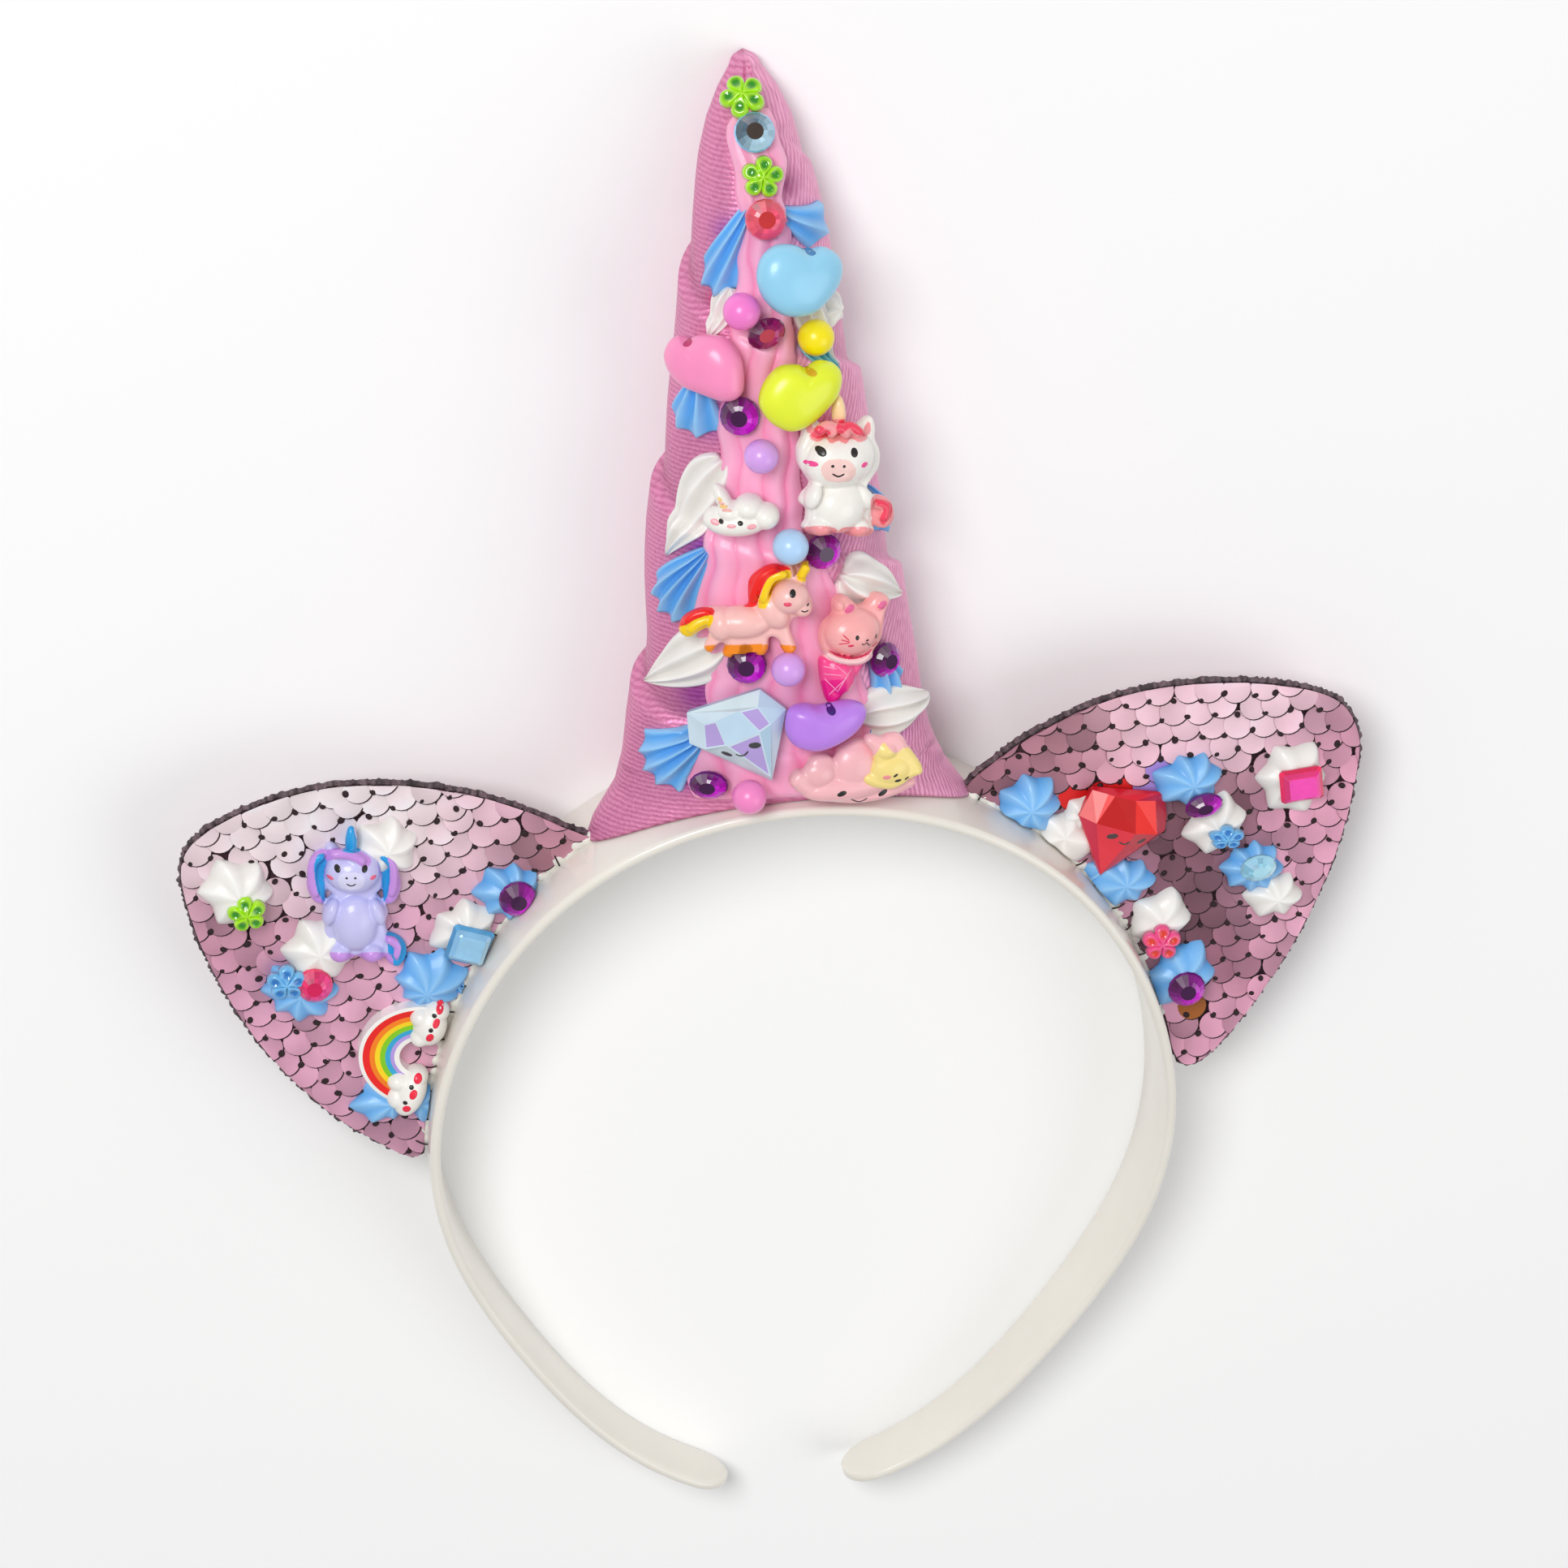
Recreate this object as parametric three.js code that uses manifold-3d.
// A unicorn headband: a clear-white strip, a padded horn, two sequinned ears and piped cream with charms.
// It lies on its back: +X is the wearer's left, +Y runs from the crown to the tip of the horn, and the
// decorated front faces +Z. Places are measured from the middle of the head opening, and the whole is then
// moved so that its origin is the middle of the back edge of the strip at the crown.
import * as THREE from "three";
import { mergeVertices } from "three/addons/utils/BufferGeometryUtils.js";
import Module from "manifold-3d";

const wasm = await Module();
wasm.setup();

const GAP = 0.3;

// headband: its inner line is a sum of cosines of the angle from the crown, as shares of the radius
const BAND_RADIUS = 64.45;
const BAND_SHAPE = [1, 0, 0.069, -0.031, 0.019, -0.009];
const BAND_THICKNESS = 1.8;
const BAND_CROWN_WIDTH = 28.6;
const BAND_TIP_WIDTH = 11.5;
const BAND_END_ANGLE = 172;
const BAND_STEPS = 36;
const TIP_STEPS = [25, 50, 75];

// horn: it stands on the outer face of the strip, a little to the wearer's right of the crown
const HORN_ANGLE = -4.2;
const HORN_LEAN = 3.3;
const HORN_HEIGHT = 120.5;
const HORN_HALF_WIDTH = 27.2;
const HORN_HALF_DEPTH = 13;
// each row: height, half width and half depth, as shares of the three sizes above
const HORN_ROWS = [
  [-0.075, 1.18, 1], [-0.05, 1.14, 1], [-0.025, 1.07, 1], [0, 1, 1], [0.05, 0.935, 1],
  [0.13, 0.86, 0.985], [0.215, 0.79, 0.97], [0.3, 0.745, 0.945], [0.38, 0.695, 0.925],
  [0.465, 0.625, 0.89], [0.55, 0.565, 0.86], [0.63, 0.5, 0.815], [0.715, 0.44, 0.755],
  [0.8, 0.375, 0.675], [0.88, 0.305, 0.57], [0.93, 0.245, 0.47], [0.965, 0.175, 0.35],
  [0.988, 0.1, 0.21], [1, 0.045, 0.085],
];
const HORN_SIDES = 20;
const HORN_STEPS = 26;
const GROOVE_DEPTH = 0.07;
const GROOVE_WIDTH = 0.16;
const GROOVE_PITCH = 34;
const GROOVE_TOP = 87;

// cream on the front of the horn; each row: height as a share of the horn's, and the left and right edge
// as shares of its half width there
const CREAM_OFFSET = 0.8;
const CREAM_THICKNESS = 2.2;
const CREAM_ROWS = [
  [0.008, -0.53, 0.64], [0.041, -0.62, 0.62], [0.083, -0.64, 0.59], [0.116, -0.59, 0.59],
  [0.149, -0.54, 0.58], [0.191, -0.54, 0.56], [0.232, -0.63, 0.54], [0.282, -0.71, 0.47],
  [0.315, -0.66, 0.41], [0.349, -0.61, 0.33], [0.382, -0.57, 0.24], [0.415, -0.55, 0.22],
  [0.498, -0.52, 0.24], [0.589, -0.51, 0.28], [0.672, -0.46, 0.29], [0.714, -0.4, 0.36],
  [0.747, -0.33, 0.42], [0.78, -0.32, 0.41], [0.834, -0.36, 0.34], [0.88, -0.46, 0.5],
  [0.925, -0.5, 0.5], [0.94, -0.4, 0.4],
];
const CREAM_SPANS = 6;

// how far the piped swirls reach into the curve of the horn
const SWIRL_DEPTH = 1.5;

// ears: each point is an angle from the crown, and how far it stands off the strip as a share of the reach
const EAR_REACH = 44;
const EAR_THICKNESS = 2.6;
const EAR_FRONT = 14;
const LEFT_EAR = [
  [-31.9, -0.03], [-33.7, 0.14], [-36.2, 0.31], [-39.4, 0.51], [-43.2, 0.72], [-47.2, 0.91],
  [-51.7, 1.07], [-56, 1.18], [-59.4, 1.18], [-64.3, 1.04], [-69.4, 0.87], [-75.7, 0.65],
  [-82.6, 0.39], [-87.5, 0.18], [-90.1, 0.05], [-86.9, 0], [-71.5, -0.02], [-55.8, -0.03],
  [-41.9, -0.06],
];
const RIGHT_EAR = [
  [21.6, 0], [23.5, 0.19], [26.2, 0.36], [29.9, 0.57], [34.3, 0.77], [39.8, 0.99],
  [44.8, 1.15], [48.7, 1.15], [52.5, 1.04], [58.5, 0.84], [65.3, 0.61], [72, 0.39],
  [78.3, 0.19], [80.3, 0.08], [77.7, 0.02], [70, 0.01], [56.2, -0.01], [42.5, -0.05],
  [30.1, -0.06],
];
const EAR_OUTLINE_STEPS = 30;

const COLOURS = {
  shell: 0xf1ede6, horn: 0xc987a8, cream: 0xff9cc4, sequin: 0xd9a3b5,
  blue: 0x6fb7f2, white: 0xf6f2ee, lime: 0x8fd61e, steel: 0x8fb8cc, coral: 0xe8506a,
  sky: 0xa4dcf2, pink: 0xf77fb8, candy: 0xf06ac2, plum: 0x8a0f5c, lemon: 0xf8d90f,
  neon: 0xe9f53c, violet: 0x7a0f8c, lilac: 0xc495e8, blush: 0xf7c6c6, salmon: 0xf29aa8,
  ice: 0xb4d6ea, grape: 0xb57af0, rose: 0xf5b3b6, red: 0xe8384a, aqua: 0x7ec8dc,
};
const CLEAR = new Set(["steel", "coral", "plum", "violet", "lime", "red", "aqua"]);

// charms on the horn: name, kind, colour, place across as a share of the half width there, height as a share
// of the horn's, turn, width, height and lift off the cream
const HORN_CHARMS = [
  ["green_flower_top", "flower", "lime", -0.34, 0.966, 20, 6.6, 6.6, 0],
  ["steel_blue_stone", "stone", "steel", -0.06, 0.922, 0, 6.4, 6.4, 0],
  ["green_flower_low", "flower", "lime", 0.03, 0.869, -10, 6.6, 6.6, 0],
  ["coral_stone", "stone", "coral", 0.03, 0.817, 0, 6.5, 6.5, 0],
  ["blue_heart", "heart", "sky", 0.41, 0.748, -18, 13.4, 11.6, 0],
  ["pink_pearl_top", "pearl", "candy", -0.32, 0.706, 0, 5.9, 5.9, 0],
  ["plum_oval_stone", "stone", "plum", -0.05, 0.672, 25, 6.2, 4.8, 0],
  ["yellow_pearl", "pearl", "lemon", 0.55, 0.662, 0, 5.8, 5.8, -2.4],
  ["pink_heart", "heart", "pink", -0.77, 0.635, 40, 13.2, 11, -1.6],
  ["yellow_heart", "heart", "neon", 0.26, 0.601, -18, 13, 11.6, 0],
  ["purple_stone_high", "stone", "violet", -0.35, 0.564, 0, 6.4, 6.4, 0],
  ["lilac_pearl_top", "pearl", "lilac", -0.15, 0.515, 0, 5.5, 5.5, 0],
  ["white_unicorn", "pony", "white", 0.57, 0.471, -4, 17, 19, 0],
  ["white_cloud", "cloud", "white", -0.35, 0.445, -8, 11.4, 8, 0],
  ["light_blue_pearl", "pearl", "sky", 0.08, 0.393, 0, 5.8, 5.8, 0],
  ["purple_stone_mid", "stone", "violet", 0.35, 0.366, 0, 6, 6, -1],
  ["leaping_unicorn", "leaper", "blush", -0.34, 0.298, 17, 21.4, 11.4, 0],
  ["scoop_cone", "cone", "salmon", 0.51, 0.239, -14, 11, 17.5, -0.5],
  ["purple_stone_low", "stone", "violet", -0.29, 0.22, 0, 6.4, 6.4, 0],
  ["lilac_pearl_low", "pearl", "lilac", 0, 0.218, 0, 5.5, 5.5, 0],
  ["purple_stone_side", "stone", "violet", 0.78, 0.193, 0, 5.8, 5.8, -2.4],
  ["blue_diamond", "gem", "ice", -0.41, 0.122, 32, 16.4, 14.6, 0],
  ["purple_heart", "heart", "grape", 0.23, 0.133, 8, 13.6, 8.4, 0],
  ["purple_oval_stone", "stone", "violet", -0.51, 0.047, 0, 6.4, 4.8, 0],
  ["pink_pearl_low", "pearl", "candy", -0.26, 0.038, 0, 5.6, 5.6, 0],
  ["pink_cloud", "starred_cloud", "rose", 0.33, 0.05, 6, 19, 9.4, 0],
];

// piped cream on the horn: name, colour, place across and height as shares, turn, length, width, height,
// how far the peak is off centre
const HORN_SWIRLS = [
  ["swirl_blue_top_left", "blue", -0.55, 0.756, 64, 14, 6.4, 3.2, 0.4],
  ["swirl_blue_top_right", "blue", 0.76, 0.788, 152, 9, 6.4, 3, 0.3],
  ["swirl_white_right", "white", 0.71, 0.659, 80, 13, 6, 3, 0],
  ["swirl_blue_left", "blue", -0.81, 0.558, 60, 9.5, 7.4, 3, 0.3],
  ["leaf_white_left", "white", -0.77, 0.432, 58, 16, 8, 3, -0.36],
  ["fan_blue_left", "blue", -0.79, 0.326, 52, 12, 9, 3.6, 0.36],
  ["leaf_white_low_left", "white", -0.74, 0.197, 40, 15, 9, 3.2, -0.3],
  ["fan_blue_low_left", "blue", -0.77, 0.073, 30, 11, 11, 3.6, 0.36],
  ["swirl_blue_right", "blue", 0.9, 0.393, 80, 9, 5.6, 3, 0],
  ["leaf_white_right", "white", 0.78, 0.301, -10, 9.6, 6.4, 3.2, 0.2],
  ["leaf_white_low_right", "white", 0.84, 0.109, 10, 12, 7.4, 3.4, 0.36],
];

// decoration on the ears: name, colour, angle, stand-off, then its piped swirls and the charms set into them,
// which are placed from there
// swirl: x, y, turn, length, width, height, peak; charm: kind, x, y, turn, width, height, lift
const EAR_SETS = [
  ["left_tip_rosette", "white", -58.5, 0.98, [[0, 0, 0, 11.6, 11.6, 4, 0]],
    [["flower", 1.5, -4.2, 10, 6, 6, 3]]],
  ["left_rosette_high", "white", -46.6, 0.6, [[0, 0, 20, 10, 8, 3.6, 0]], []],
  ["left_rosette_mid", "white", -63.6, 0.43, [[0, 0, 0, 8.4, 6.4, 3.6, 0]], []],
  ["left_blue_rosette", "blue", -67.7, 0.61, [[0, 0, 0, 11.5, 11, 3.6, 0]],
    [["flower", -2.2, 2, 0, 6.2, 6.2, 2.4], ["stone", 3.4, 1.4, 0, 5.6, 5.6, 2]]],
  ["left_blue_rosette_inner", "blue", -44, 0.1, [[0, 0, 0, 10, 9, 3.4, 0]],
    [["stone", 1.4, -1.6, 0, 6.2, 6.2, 2.4]]],
  ["left_square_stone_swirl", "white", -52.7, 0.2,
    [[0, 0, 30, 9.5, 8, 3.2, 0], [-1.6, -8.8, 70, 11, 7, 3.2, 0]],
    [["step", 3.8, -3.4, -17, 6.6, 6.4, 2.2]]],
  ["left_low_swirl", "blue", -82.2, 0.17, [[0, 0, 10, 9.6, 7.2, 3.2, 0.3]], []],
  ["right_star_rosette", "blue", 29.6, 0.1, [[0, 0, 0, 9.6, 9.6, 4, 0]], []],
  ["right_white_streak", "white", 36.4, 0.05, [[0, 0, 38, 6.4, 4.6, 2.6, 0]], []],
  ["right_blue_swirl", "blue", 47.2, 0.07, [[0, 0, 0, 12, 6.4, 3, 0]], []],
  ["right_double_rosette", "blue", 41.7, 0.54,
    [[0, 0, 0, 10.6, 10, 3.4, 0], [4.8, -8.2, 0, 10, 9, 3.2, 0]],
    [["stone", 2.5, -3.8, 23, 6.2, 4.2, 2.8], ["flower", 7, -10.4, 0, 5.8, 4.2, 2.6]]],
  ["right_outer_rosette", "blue", 53.8, 0.55,
    [[0, 0, 0, 9, 8, 3.4, 0], [4.6, -6.4, 0, 8.6, 8, 3.2, 0]],
    [["stone", 1.4, -2, 0, 6, 5, 2.8]]],
  ["right_tip_rosette", "white", 48, 0.85, [[0, 0, 0, 10.6, 9, 3.4, 0]],
    [["step", 1.8, -1.6, 23, 6.8, 5.4, 2.4]]],
  ["right_low_rosettes", "white", 55.3, 0.13,
    [[0, 0, 0, 9.6, 9, 3.2, 0], [4.4, -8.4, 63, 12, 10, 3.4, 0]],
    [["flower", 0.5, -3.4, 0, 6.4, 6.4, 2.8], ["stone", 5.4, -11.4, 0, 6.2, 6.2, 2.4]]],
];
// charms of their own on the ears: name, kind, colour, angle, stand-off, turn, width, height
const EAR_CHARMS = [
  ["lilac_unicorn", "pony", "lilac", -54.9, 0.56, 17, 15.6, 20],
  ["rainbow", "rainbow", "sky", -72.1, 0.15, 77, 18.6, 14],
  ["red_diamond", "gem", "red", 41.4, 0.22, 23, 15.4, 14.6],
];

const DEG = Math.PI / 180;
const group = new THREE.Group();
const laid = new THREE.Group();
group.add(laid);

function lerpRows(rows, at, column) {
  const last = rows.length - 1;
  if (at <= rows[0][0]) return rows[0][column];
  for (let i = 0; i < last; i++) {
    const [low, high] = [rows[i], rows[i + 1]];
    if (at <= high[0]) {
      const share = (at - low[0]) / (high[0] - low[0]);
      return low[column] + share * (high[column] - low[column]);
    }
  }
  return rows[last][column];
}

function solid(geometry) {
  const bare = geometry.clone();
  bare.deleteAttribute("normal");
  bare.deleteAttribute("uv");
  const welded = mergeVertices(bare, 1e-4);
  return new wasm.Manifold(new wasm.Mesh({
    numProp: 3,
    vertProperties: new Float32Array(welded.attributes.position.array),
    triVerts: new Uint32Array(welded.index.array),
  }));
}

function geometryOf(body) {
  const mesh = body.getMesh();
  const geometry = new THREE.BufferGeometry();
  geometry.setAttribute("position", new THREE.BufferAttribute(mesh.vertProperties, 3));
  geometry.setIndex(new THREE.BufferAttribute(mesh.triVerts, 1));
  const flat = geometry.toNonIndexed();
  flat.computeVertexNormals();
  return flat;
}

function largest(body) {
  return body.decompose().reduce((best, piece) => (piece.volume() > best.volume() ? piece : best));
}

// Triangles over a flat ring, turned the same way round as the ring
function capFaces(ring, flatten) {
  const points = ring.map((point) => new THREE.Vector2(...flatten(point)));
  const way = Math.sign(THREE.ShapeUtils.area(points));
  return THREE.ShapeUtils.triangulateShape(points, []).map(([a, b, c]) => {
    const turned = way * THREE.ShapeUtils.area([points[a], points[b], points[c]]) > 0;
    return turned ? [a, b, c] : [a, c, b];
  });
}

// A closed body from rings of points, each with the same count; flatten gives a ring's point in its plane
function loft(rings, flatten = ([x, y]) => [x, y]) {
  const count = rings[0].length;
  const index = [];
  for (let i = 0; i + 1 < rings.length; i++) {
    for (let j = 0; j < count; j++) {
      const a = i * count + j;
      const b = i * count + ((j + 1) % count);
      index.push(a, b, b + count, a, b + count, a + count);
    }
  }
  const top = (rings.length - 1) * count;
  for (const [a, b, c] of capFaces(rings[0], flatten)) index.push(a, c, b);
  for (const [a, b, c] of capFaces(rings[rings.length - 1], flatten)) index.push(top + a, top + b, top + c);
  return new wasm.Manifold(new wasm.Mesh({
    numProp: 3,
    vertProperties: new Float32Array(rings.flat(2)),
    triVerts: new Uint32Array(index),
  }));
}

function bandPoint(angle, offset) {
  const turn = angle * DEG;
  let radius = 0;
  let slope = 0;
  BAND_SHAPE.forEach((share, k) => {
    radius += share * BAND_RADIUS * Math.cos(k * turn);
    slope -= share * BAND_RADIUS * k * Math.sin(k * turn);
  });
  const tangent = new THREE.Vector2(
    slope * Math.sin(turn) + radius * Math.cos(turn),
    slope * Math.cos(turn) - radius * Math.sin(turn),
  ).normalize();
  return [
    radius * Math.sin(turn) - tangent.y * offset,
    radius * Math.cos(turn) + tangent.x * offset,
  ];
}

function bandWidth(angle) {
  const top = bandPoint(0, 0)[1];
  const low = bandPoint(BAND_END_ANGLE, 0)[1];
  const share = (top - bandPoint(angle, 0)[1]) / (top - low);
  return BAND_CROWN_WIDTH + share * (BAND_TIP_WIDTH - BAND_CROWN_WIDTH);
}

function headband() {
  const half = BAND_TIP_WIDTH / 2;
  const [endX, endY] = bandPoint(BAND_END_ANGLE, 0);
  const tipAngle = half / Math.hypot(endX, endY) / DEG;
  const straight = BAND_END_ANGLE - tipAngle;
  const stations = [];
  for (let i = 0; i <= BAND_STEPS; i++) {
    const angle = straight * ((2 * i) / BAND_STEPS - 1);
    stations.push([angle, 0, bandWidth(angle)]);
  }
  for (const step of TIP_STEPS) {
    const angle = straight + tipAngle * Math.sin(step * DEG);
    const reach = half * Math.cos(step * DEG);
    const row = [angle, half - reach, half + reach];
    stations.push(row);
    stations.unshift([-angle, row[1], row[2]]);
  }
  return loft(stations.map(([angle, low, high]) => {
    const inner = bandPoint(angle, 0);
    const outer = bandPoint(angle, BAND_THICKNESS);
    return [[...inner, low], [...outer, low], [...outer, high], [...inner, high]];
  }), ([x, y, z]) => [Math.hypot(x, y), z]);
}

// Everything inside the outer face of the strip, with the gap that the padded pieces keep from it
function headKeepOut() {
  const shape = new THREE.Shape();
  const reach = BAND_THICKNESS + GAP;
  shape.moveTo(...bandPoint(-BAND_END_ANGLE, reach));
  for (let angle = 4 - BAND_END_ANGLE; angle <= BAND_END_ANGLE; angle += 4) {
    shape.lineTo(...bandPoint(angle, reach));
  }
  const depth = 2 * BAND_CROWN_WIDTH;
  return solid(new THREE.ExtrudeGeometry(shape, { depth, bevelEnabled: false }))
    .translate([0, 0, -GAP]);
}

const hornFoot = bandPoint(HORN_ANGLE, BAND_THICKNESS);
const hornAcross = new THREE.Vector3(Math.cos(HORN_LEAN * DEG), Math.sin(HORN_LEAN * DEG), 0);
const hornUp = new THREE.Vector3(-hornAcross.y, hornAcross.x, 0);

function hornPlace(across, height, z) {
  return new THREE.Vector3(...hornFoot, z)
    .addScaledVector(hornAcross, across)
    .addScaledVector(hornUp, height);
}

function hornSize(height) {
  const rise = height / HORN_HEIGHT;
  return [lerpRows(HORN_ROWS, rise, 1) * HORN_HALF_WIDTH, lerpRows(HORN_ROWS, rise, 2) * HORN_HALF_DEPTH];
}

// Shallow spiral groove that the winding leaves in the padding, as a share of the radius
function groove(height, turn) {
  const phase = (height - GROOVE_TOP) / GROOVE_PITCH - (turn / DEG - 180) / 360;
  const off = Math.abs(phase - Math.round(phase)) / GROOVE_WIDTH;
  return off < 1 ? GROOVE_DEPTH * (0.5 + 0.5 * Math.cos(Math.PI * off)) : 0;
}

// Heights of the rings, closer together towards the tip
const HORN_HEIGHTS = Array.from({ length: HORN_STEPS + 1 }, (_, i) => {
  const low = HORN_ROWS[0][0];
  return HORN_HEIGHT * (low + (1 - low) * (1 - (1 - i / HORN_STEPS) ** 1.3));
});

function hornBody(clearance, grooved) {
  const rings = [];
  for (const height of HORN_HEIGHTS) {
    const [bare, deep] = hornSize(height);
    const wide = bare + clearance;
    const ring = [];
    for (let j = 0; j < HORN_SIDES; j++) {
      const turn = (2 * Math.PI * j) / HORN_SIDES;
      const share = 1 - (grooved ? groove(height, turn) : 0);
      const z = deep + (deep + clearance) * share * Math.sin(turn);
      ring.push(hornPlace(wide * share * Math.cos(turn), height, z).toArray());
    }
    rings.push(ring);
  }
  return loft(rings.reverse(), ([x, , z]) => [x, z]);
}

function creamRing(height, margin) {
  const [wide, deep] = hornSize(height);
  const edge = (column) => Math.acos(lerpRows(CREAM_ROWS, height / HORN_HEIGHT, column));
  const left = edge(1) + margin / wide;
  const right = edge(2) - margin / wide;
  const at = (turn, out) => hornPlace(
    (wide + out) * Math.cos(turn), height, deep + (deep + out) * Math.sin(turn),
  ).toArray();
  const ring = [];
  for (let j = 0; j <= CREAM_SPANS; j++) {
    ring.push(at(left + (right - left) * (j / CREAM_SPANS), CREAM_OFFSET - margin));
  }
  for (let j = CREAM_SPANS; j >= 0; j--) {
    const share = j / CREAM_SPANS;
    const full = Math.sqrt(Math.sin(Math.PI * Math.min(Math.max(share, 0.06), 0.94)));
    ring.push(at(left + (right - left) * share, CREAM_OFFSET + CREAM_THICKNESS * full + margin));
  }
  return ring;
}

// The cream, or with a margin the room that it takes up
function cream(margin) {
  const low = CREAM_ROWS[0][0] * HORN_HEIGHT - margin;
  const high = CREAM_ROWS[CREAM_ROWS.length - 1][0] * HORN_HEIGHT + margin;
  const inside = HORN_HEIGHTS.filter((height) => height > low + 1 && height < high - 1);
  const rings = [low, ...inside, high].reverse().map((height) => creamRing(height, margin));
  return loft(rings, ([x, , z]) => [x, z]);
}

// A frame that stands on the front of the horn: its z axis leaves the surface
function onHorn(side, rise, turn, out) {
  const height = rise * HORN_HEIGHT;
  const across = side * hornSize(height)[0];
  const surface = (u, h) => {
    const [wide, deep] = hornSize(h);
    const share = Math.max(-0.88, Math.min(0.88, u / (wide + out)));
    return hornPlace(u, h, deep + (deep + out) * Math.sqrt(1 - share * share));
  };
  const point = surface(across, height);
  const along = surface(across, height + 2).sub(surface(across, height - 2));
  const aside = surface(across + 1, height).sub(surface(across - 1, height));
  const outward = aside.cross(along).normalize();
  return frameAt(point, outward, turn);
}

function besideBand(angle, standOff) {
  return bandPoint(angle, BAND_THICKNESS + standOff * EAR_REACH);
}

// A frame on the front of an ear, moved by x and y from its place beside the strip
function onEar(angle, standOff, x, y, turn, lift) {
  const place = besideBand(angle, standOff);
  return new THREE.Matrix4().makeRotationZ(turn * DEG)
    .setPosition(place[0] + x, place[1] + y, EAR_FRONT + GAP + lift);
}

function frameAt(point, outward, turn) {
  const aside = hornAcross.clone().addScaledVector(outward, -outward.dot(hornAcross)).normalize();
  const up = outward.clone().cross(aside);
  const x = aside.clone().multiplyScalar(Math.cos(turn * DEG)).addScaledVector(up, Math.sin(turn * DEG));
  const y = outward.clone().cross(x);
  return new THREE.Matrix4().makeBasis(x, y, outward).setPosition(point);
}

// Rows of one outline, each scaled and raised, closed at both ends
function puffed(outline, rows) {
  return loft(rows.map(([scale, z]) => outline.map(([x, y]) => [x * scale, y * scale, z])));
}

function polar(count, radius) {
  return Array.from({ length: count }, (_, i) => {
    const turn = (2 * Math.PI * i) / count;
    const reach = radius(turn);
    return [reach * Math.cos(turn), reach * Math.sin(turn)];
  });
}

function ellipsoid(x, y, z, rx, ry, rz, turn = 0) {
  const ball = new THREE.SphereGeometry(1, 6, 4);
  ball.scale(rx, ry, rz);
  ball.rotateZ(turn * DEG);
  ball.translate(x, y, z);
  return solid(ball);
}

function spike(x, y, z, radius, length, turn) {
  const cone = new THREE.CylinderGeometry(radius * 0.15, radius, length, 7);
  cone.translate(0, length / 2, 0);
  cone.rotateZ(turn * DEG);
  cone.translate(x, y, z);
  return solid(cone);
}

// Moulded charm: rounded parts joined, with a flat back
function moulded(parts, width, height) {
  const body = parts.reduce((sum, part) => sum.add(part)).trimByPlane([0, 0, 1], 0);
  const box = body.boundingBox();
  return body
    .translate([-(box.min[0] + box.max[0]) / 2, -(box.min[1] + box.max[1]) / 2, 0])
    .scale([width / (box.max[0] - box.min[0]), height / (box.max[1] - box.min[1]), 1]);
}

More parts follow.
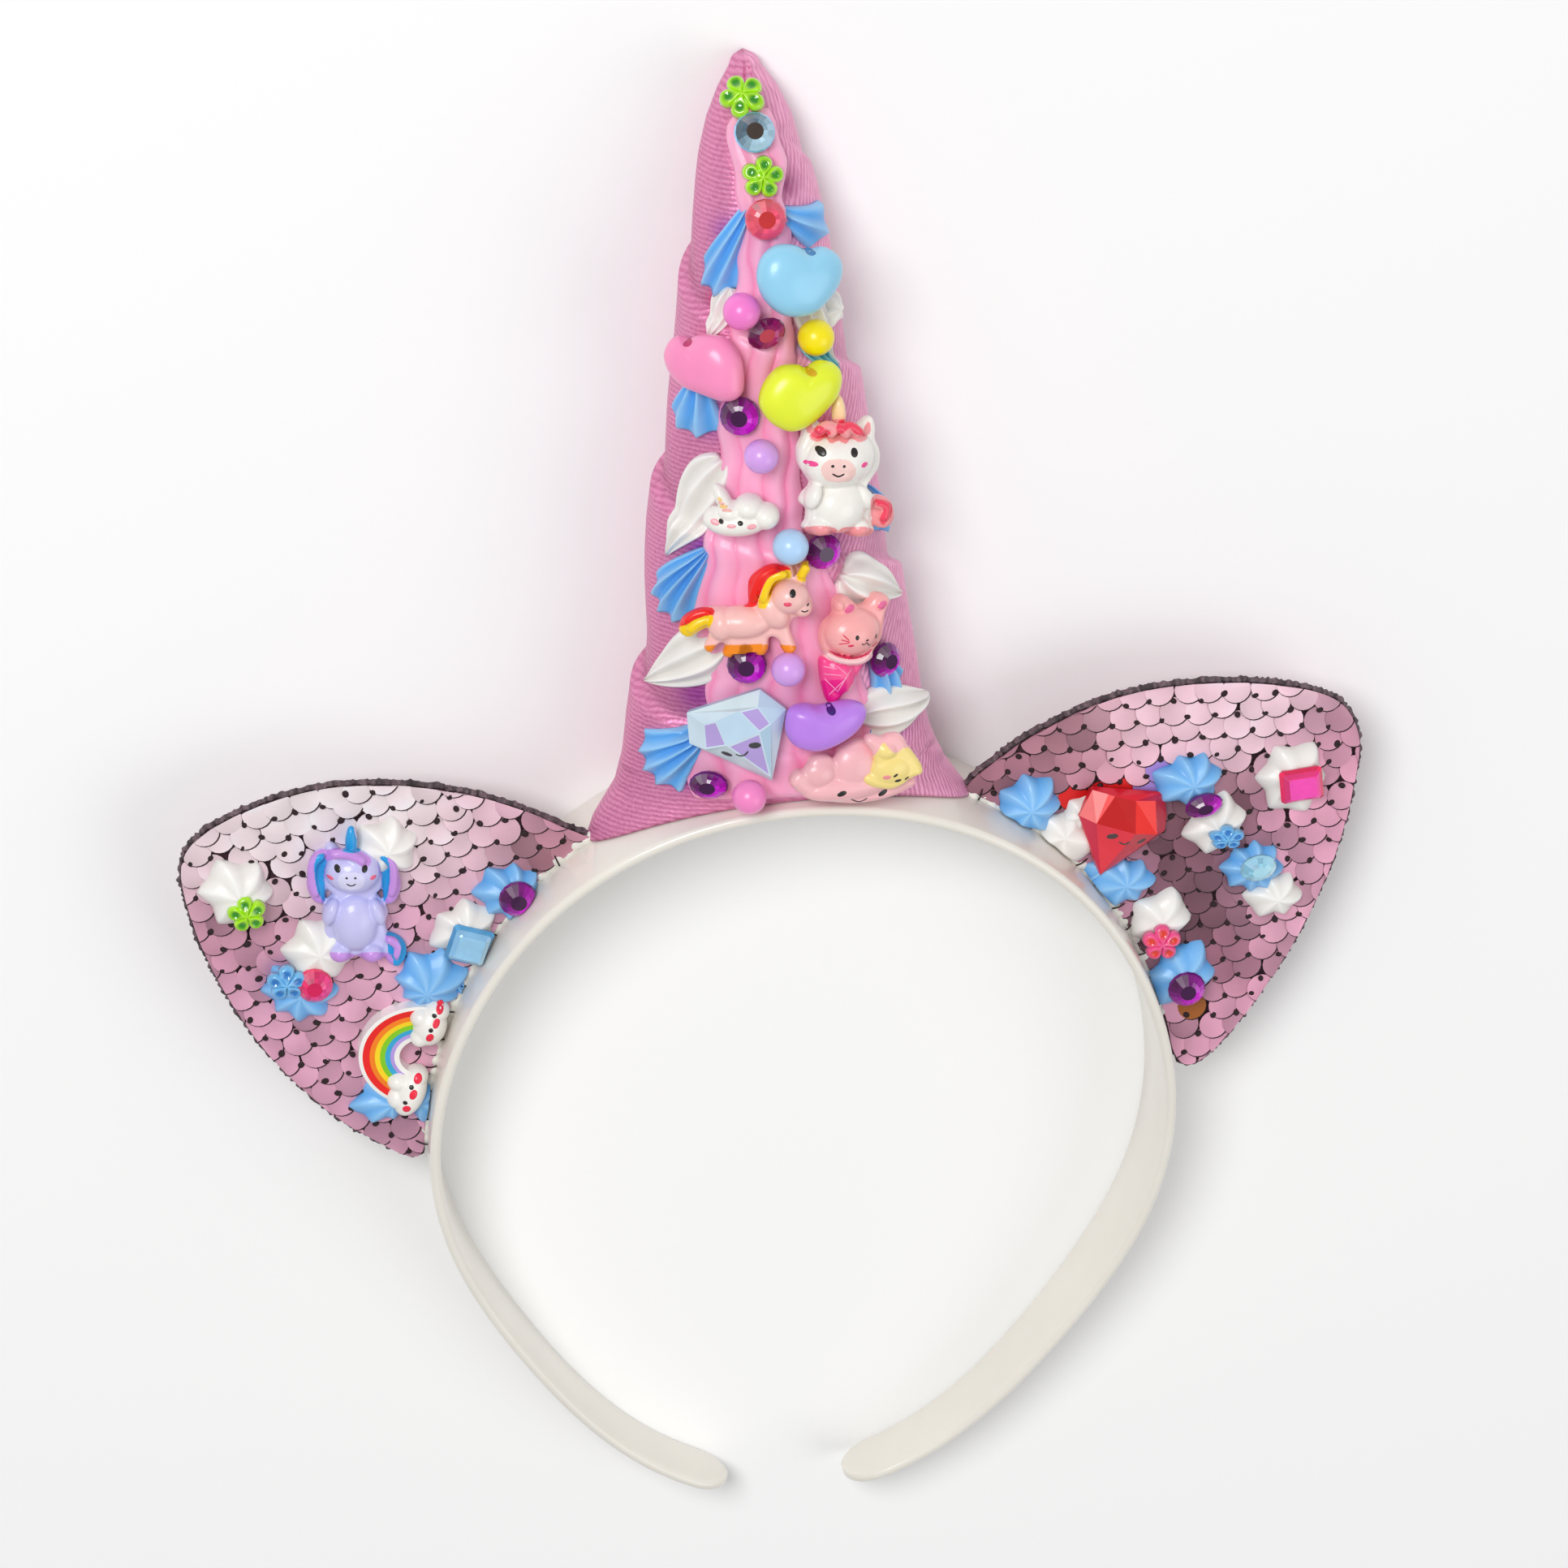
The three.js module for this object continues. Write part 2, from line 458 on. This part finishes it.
const KINDS = {
  pearl(width) {
    const ball = new THREE.SphereGeometry(width / 2, 10, 6);
    ball.rotateX(Math.PI / 2);
    return solid(ball).translate([0, 0, width / 2]);
  },
  stone(width, height) {
    const outline = polar(10, () => 1).map(([x, y]) => [(x * width) / 2, (y * height) / 2]);
    return puffed(outline, [[0.94, 0], [1, 0.8], [0.78, 1.9], [0.5, 2.4]]);
  },
  step(width, height) {
    const [w, h, cut] = [width / 2, height / 2, 0.24];
    const outline = [
      [w, h * (1 - cut)], [w * (1 - cut), h], [-w * (1 - cut), h], [-w, h * (1 - cut)],
      [-w, -h * (1 - cut)], [-w * (1 - cut), -h], [w * (1 - cut), -h], [w, -h * (1 - cut)],
    ];
    return puffed(outline, [[0.94, 0], [1, 0.8], [0.82, 1.7], [0.6, 2.4]]);
  },
  flower(width, height) {
    const outline = polar(20, (turn) => 1 - 0.3 * Math.abs(Math.cos(2.5 * turn)) ** 1.5)
      .map(([x, y]) => [(x * width) / 2, (y * height) / 2]);
    return puffed(outline, [[0.94, 0], [1, 1.1], [0.5, 2.1]]);
  },
  heart(width, height) {
    const outline = polar(16, () => 1).map(([c, s]) => [
      c * (1 - 0.08 * s) * (width / 2),
      (s - 0.34 * (1 - Math.abs(c)) ** 1.4 * (s > 0 ? 1 : 0.1) + 0.06) * (height / 2),
    ]);
    return puffed(outline, [[0.5, 0], [0.84, 1], [1, 3.2], [0.86, 5.2], [0.4, 6.8]]);
  },
  gem(width, height) {
    const outline = [
      [0, -0.5], [0.26, -0.18], [0.5, 0.16], [0.3, 0.5],
      [0, 0.52], [-0.3, 0.5], [-0.5, 0.16], [-0.26, -0.18],
    ].map(([x, y]) => [x * width, y * height]);
    return puffed(outline, [[1, 0], [1, 2.2], [0.72, 4.6], [0.5, 5]]);
  },
  cloud(width, height) {
    return moulded([
      ellipsoid(0, -0.6, 1.6, 7.4, 3.4, 3.4),
      ellipsoid(-4.6, 1.2, 1.6, 3.6, 3.4, 3),
      ellipsoid(0.4, 2.6, 1.6, 4.6, 3.6, 3.6),
      ellipsoid(5.2, 1, 1.6, 3.4, 3, 2.8),
    ], width, height);
  },
  starred_cloud(width, height) {
    const outline = polar(10, (turn) => 1 - 0.24 * Math.abs(Math.cos(2.5 * turn)))
      .map(([x, y]) => [x * 0.26 * width, y * 0.48 * height]);
    const star = puffed(outline, [[0.9, 0], [1, 1], [0.7, 2.4]]).translate([0.45 * width, 0.3 * height, 4]);
    const stem = ellipsoid(0.38 * width, 0.2 * height, 2.6, 2.6, 2.6, 2.6);
    return KINDS.cloud(width, height).add(stem).add(star);
  },
  pony(width, height) {
    return moulded([
      ellipsoid(0, 4, 2.4, 7, 6.4, 3.8),
      ellipsoid(0.6, -4.8, 2.2, 5.4, 6, 3.2),
      ellipsoid(-5, -2, 2, 3, 1.7, 1.8, -20),
      ellipsoid(-3.2, -9.6, 1.8, 2.2, 2.4, 2),
      ellipsoid(3.8, -9.6, 1.8, 2.2, 2.4, 2),
      ellipsoid(6.6, 7, 2, 2.2, 2.2, 1.8),
      ellipsoid(7.2, -3.4, 1.6, 2, 4.6, 1.8, -16),
      spike(-2.6, 8, 2.4, 2.4, 5.4, 12),
    ], width, height);
  },
  leaper(width, height) {
    return moulded([
      ellipsoid(0, 0, 2, 6.6, 3.6, 3),
      ellipsoid(7, 2.4, 2.6, 4.6, 3.9, 3.6),
      ellipsoid(2.4, 4, 2.4, 5.4, 2, 2.6, 22),
      ellipsoid(-8.4, -0.2, 1.6, 4.4, 2.1, 2, 8),
      ellipsoid(-4.6, -3.6, 1.6, 2.8, 1.7, 1.8, 34),
      ellipsoid(5, -3.6, 1.6, 1.9, 2.2, 1.8),
      spike(8.4, 5, 2.2, 1.7, 4.6, -30),
    ], width, height);
  },
  cone(width, height) {
    const wafer = new THREE.CylinderGeometry(4.4, 0.7, 9, 10);
    wafer.scale(1, 1, 0.7);
    wafer.translate(0, -3.6, 2);
    return moulded([
      solid(wafer),
      ellipsoid(0, 4.4, 2.4, 5.6, 5, 4),
      spike(-3.4, 7.4, 2.2, 1.8, 3.4, 14),
      spike(3.4, 7.4, 2.2, 1.8, 3.4, -14),
    ], width, height);
  },
  rainbow(width, height) {
    const arch = new THREE.Shape();
    arch.absarc(0, 0, 9, 0, Math.PI, false);
    arch.absarc(0, 0, 3.2, Math.PI, 0, true);
    const bow = new THREE.ExtrudeGeometry(arch, { depth: 3, bevelEnabled: false, curveSegments: 7 });
    return moulded([
      solid(bow),
      ellipsoid(-6.4, -0.6, 2, 4.6, 3.4, 3),
      ellipsoid(6.4, -0.6, 2, 4.6, 3.4, 3),
    ], width, height);
  },
};

// Piped cream: ridges run from the peak to the scalloped rim
function dollop(length, width, height, peak) {
  const ridges = 6;
  const outline = polar(2 * ridges, (turn) => {
    const scallop = 1 + 0.08 * Math.cos(ridges * turn);
    const [c, s] = [Math.cos(turn), Math.sin(turn)];
    const [a, b, shift] = [length / 2, width / 2, peak * length];
    const square = (c / a) ** 2 + (s / b) ** 2;
    const middle = (shift * c) / a ** 2;
    return scallop * ((-middle + Math.sqrt(middle ** 2 - square * ((shift / a) ** 2 - 1))) / square);
  });
  const rings = [[0.97, 0], [1, 0.2], [0.78, 0.64], [0.24, 1]].map(([share, rise]) => (
    outline.map(([x, y], i) => {
      const ridge = i % 2 ? 0.84 : 1;
      return [x * share * (rise > 0.2 ? ridge : 1) + peak * length, y * share * (rise > 0.2 ? ridge : 1),
        height * rise];
    })
  ));
  return loft(rings);
}

function add(name, body, colour, finish = {}) {
  const material = new THREE.MeshStandardMaterial({
    color: COLOURS[colour] ?? colour, roughness: 0.35, metalness: 0, ...finish,
  });
  const mesh = new THREE.Mesh(geometryOf(body), material);
  mesh.name = name;
  laid.add(mesh);
  return body;
}

function placed(body, frame) {
  return body.transform(frame.elements);
}

// Eight-sided room around a charm, which other pieces keep out of
function roomAround(width, height, frame) {
  const outline = polar(8, () => 1 / Math.cos(Math.PI / 8)).map(([x, y]) => [
    (x * Math.cos(Math.PI / 8) - y * Math.sin(Math.PI / 8)) * (width / 2 + GAP),
    (x * Math.sin(Math.PI / 8) + y * Math.cos(Math.PI / 8)) * (height / 2 + GAP),
  ]);
  return placed(puffed(outline, [[1, -2], [1, 9]]), frame);
}

function fitted(body, rooms) {
  return largest(rooms.reduce((rest, room) => rest.subtract(room), body));
}

function earOutline(points) {
  const curve = new THREE.CatmullRomCurve3(
    points.map((point) => new THREE.Vector3(...besideBand(...point), 0)), true, "catmullrom", 0.5,
  );
  return curve.getSpacedPoints(EAR_OUTLINE_STEPS).slice(0, -1).map(({ x, y }) => [x, y]);
}

function ear(points, keepOut, hornGuard) {
  const outline = earOutline(points);
  if (THREE.ShapeUtils.area(outline.map(([x, y]) => new THREE.Vector2(x, y))) < 0) outline.reverse();
  const middle = outline.reduce(([a, b], [x, y]) => [a + x / outline.length, b + y / outline.length], [0, 0]);
  const around = outline.map(([x, y]) => [x - middle[0], y - middle[1]]);
  const rim = EAR_THICKNESS * 0.3;
  const plate = puffed(around, [
    [0.985, 0], [1, rim], [1, EAR_THICKNESS - rim], [0.985, EAR_THICKNESS],
  ]).translate([...middle, EAR_FRONT - EAR_THICKNESS]);
  return largest(plate.subtract(keepOut).subtract(hornGuard));
}

laid.position.y = -bandPoint(0, BAND_THICKNESS / 2)[1];

const keepOut = headKeepOut();
const hornGuard = hornBody(GAP, false);
add("headband", headband(), "shell", { roughness: 0.3 });
add("horn", hornBody(0, true).subtract(keepOut), "horn", { roughness: 0.45, metalness: 0.35 });
add("horn_cream", cream(0).subtract(keepOut), "cream", { roughness: 0.4 });
add("left_ear", ear(LEFT_EAR, keepOut, hornGuard), "sequin", { roughness: 0.2, metalness: 0.6 });
add("right_ear", ear(RIGHT_EAR, keepOut, hornGuard), "sequin", { roughness: 0.2, metalness: 0.6 });

const charmOut = CREAM_OFFSET + CREAM_THICKNESS + GAP;
const hornRooms = [];
for (const [name, kind, colour, side, rise, turn, width, height, lift] of HORN_CHARMS) {
  const frame = onHorn(side, rise, turn, charmOut + lift);
  const finish = { roughness: CLEAR.has(colour) ? 0.08 : 0.25 };
  add(name, placed(KINDS[kind](width, height), frame), colour, finish);
  hornRooms.push(roomAround(width, height, frame));
}

const swirlGuard = hornGuard.add(cream(GAP));
for (const [name, colour, side, rise, turn, length, width, height, peak] of HORN_SWIRLS) {
  const frame = onHorn(side, rise, turn, -SWIRL_DEPTH);
  const body = placed(dollop(length, width, height + SWIRL_DEPTH, peak), frame);
  add(name, fitted(body.subtract(swirlGuard), hornRooms), colour);
}

const earRooms = [];
for (const [name, kind, colour, angle, standOff, turn, width, height] of EAR_CHARMS) {
  const frame = onEar(angle, standOff, 0, 0, turn, 0);
  add(name, placed(KINDS[kind](width, height), frame).subtract(keepOut), colour, { roughness: 0.25 });
  earRooms.push(roomAround(width, height, frame));
}

for (const [name, colour, angle, standOff, swirls, charms] of EAR_SETS) {
  const piped = swirls.map(([x, y, turn, length, width, height, peak]) => (
    placed(dollop(length, width, height, peak), onEar(angle, standOff, x, y, turn, 0))
  ));
  const set = charms.map(([kind, x, y, turn, width, height, lift]) => (
    placed(KINDS[kind](width, height), onEar(angle, standOff, x, y, turn, lift))
  ));
  const joined = [...piped, ...set].reduce((sum, body) => sum.add(body));
  add(name, fitted(joined.subtract(keepOut), earRooms), colour);
}

export default group;
